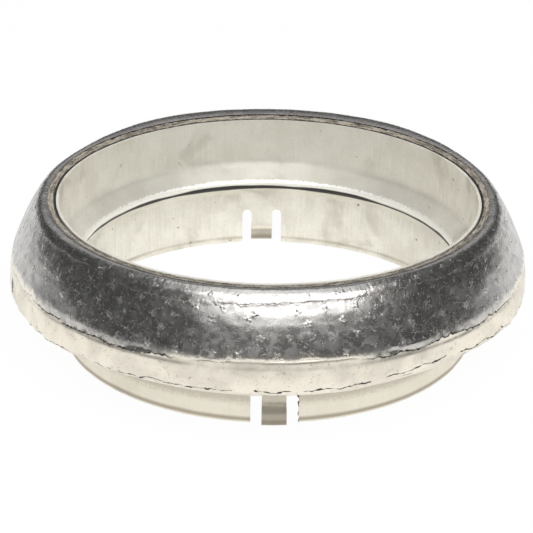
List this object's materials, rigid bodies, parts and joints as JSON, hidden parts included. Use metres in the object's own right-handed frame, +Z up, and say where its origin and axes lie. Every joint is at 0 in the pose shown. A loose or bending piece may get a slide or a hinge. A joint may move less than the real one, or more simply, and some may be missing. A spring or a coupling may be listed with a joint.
{
  "type": "exhaust gasket",
  "caption": "Ring-shaped exhaust joint gasket: a beaded sheet sleeve with spring tabs carries a packed ring faced with thin dimpled metal that seals as a ball seat.",
  "frame": {"origin": "on the sleeve's axis, level with the lower edge of its skirt, on which the part stands", "axes": "+Z up along the sleeve's axis towards the end that takes the pipe; the spring tabs lie on +Y and -Y"},
  "size_m": [0.1582, 0.1582, 0.0449],
  "materials": {
    "sleeve_steel": "drawn, dull",
    "packing_fill": "dull graphite",
    "seat_sheet": "smeared with graphite, satin",
    "belly_sheet": "satin"
  },
  "bodies": {
    "root": {"sleeve": "sleeve_steel", "packing": "packing_fill", "seat_facing": "seat_sheet", "belly_facing": "belly_sheet"}
  },
  "joints": []
}
